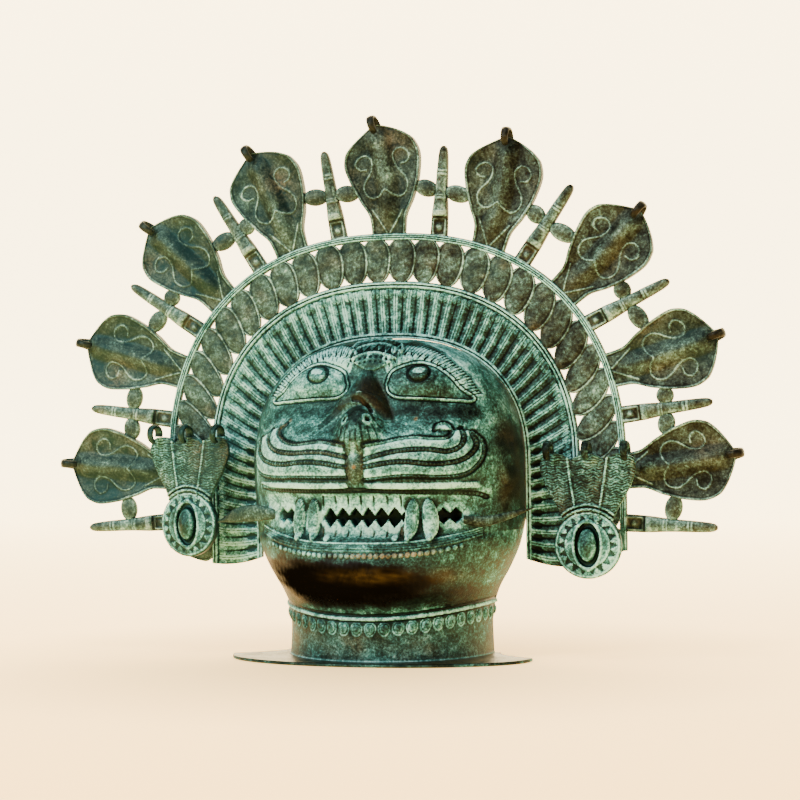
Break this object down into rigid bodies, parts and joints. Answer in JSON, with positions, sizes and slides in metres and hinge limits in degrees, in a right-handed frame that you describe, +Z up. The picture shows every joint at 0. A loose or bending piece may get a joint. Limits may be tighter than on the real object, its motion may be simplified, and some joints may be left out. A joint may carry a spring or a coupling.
{
  "type": "bronze tiger-spirit mask",
  "caption": "Cast bronze ritual mask of an animal spirit, open at the back and standing on its collar, with an openwork crown of cobra hoods and domed ear ornaments.",
  "frame": {"origin": "under the middle of the whole mask, on the plane that its collar's flange stands on", "axes": "+X towards the mask's own left ear, the longest extent; +Y to the back, the shortest; +Z up"},
  "size_m": [0.6162, 0.1196, 0.4689],
  "materials": {
    "verdigris_bronze": "cast bronze with blue-green verdigris, worn to dark brown on the chin",
    "brown_bronze": "cast bronze with olive-brown and green patina"
  },
  "bodies": {
    "root": {"mask_head": "verdigris_bronze", "crown": "brown_bronze", "ear_ornament_left": "verdigris_bronze", "ear_ornament_right": "verdigris_bronze"}
  },
  "joints": []
}
